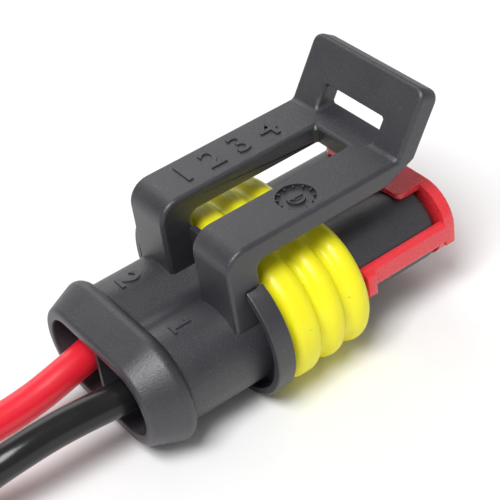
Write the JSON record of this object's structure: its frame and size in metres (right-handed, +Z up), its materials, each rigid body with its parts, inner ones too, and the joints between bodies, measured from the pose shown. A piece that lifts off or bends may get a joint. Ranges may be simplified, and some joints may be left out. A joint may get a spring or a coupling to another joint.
{
  "type": "sealed automotive connector",
  "caption": "Sealed two-way wire connector half with ribbed interface seal, flexing latch, sliding secondary lock, crimped socket terminals and tied pigtail leads",
  "frame": {"origin": "middle of the connector's length and width, on the surface that it rests on; the leads and their tie aren't counted", "axes": "+X is the mating direction, +Y runs across the two ways toward way 2, +Z is up out of the latch"},
  "size_m": [0.0808, 0.0158, 0.0161],
  "materials": {
    "housing": "satin, fine spark-eroded grain",
    "seal": "smooth silicone",
    "lock": "slightly translucent gloss",
    "terminal": "tin-plated sheet",
    "wire_seal": "smooth silicone",
    "copper": "bare copper strands",
    "wire_black": "glossy insulation",
    "wire_red": "glossy insulation",
    "tie": "moulded"
  },
  "bodies": {
    "housing": {"housing": "housing", "interface_seal": "seal", "terminal_1": "terminal", "terminal_2": "terminal", "wire_seal_1": "wire_seal", "wire_seal_2": "wire_seal", "conductor_1": "copper", "conductor_2": "copper", "wire_1": "wire_black", "wire_2": "wire_red", "tie": "tie"},
    "latch": {"latch": "housing"},
    "lock": {"secondary_lock": "lock"}
  },
  "joints": [
    {"name": "latch_flex", "type": "hinge", "parent": "housing", "child": "latch", "pos_m": [-0.00495, 0, 0.0082], "axis": [0, -1, 0], "range_deg": [0, 10], "stiffness_Nm_per_rad": 0.8},
    {"name": "lock_slide", "type": "slide", "parent": "housing", "child": "lock", "axis": [1, 0, 0], "range_m": [0, 0.0018]}
  ]
}
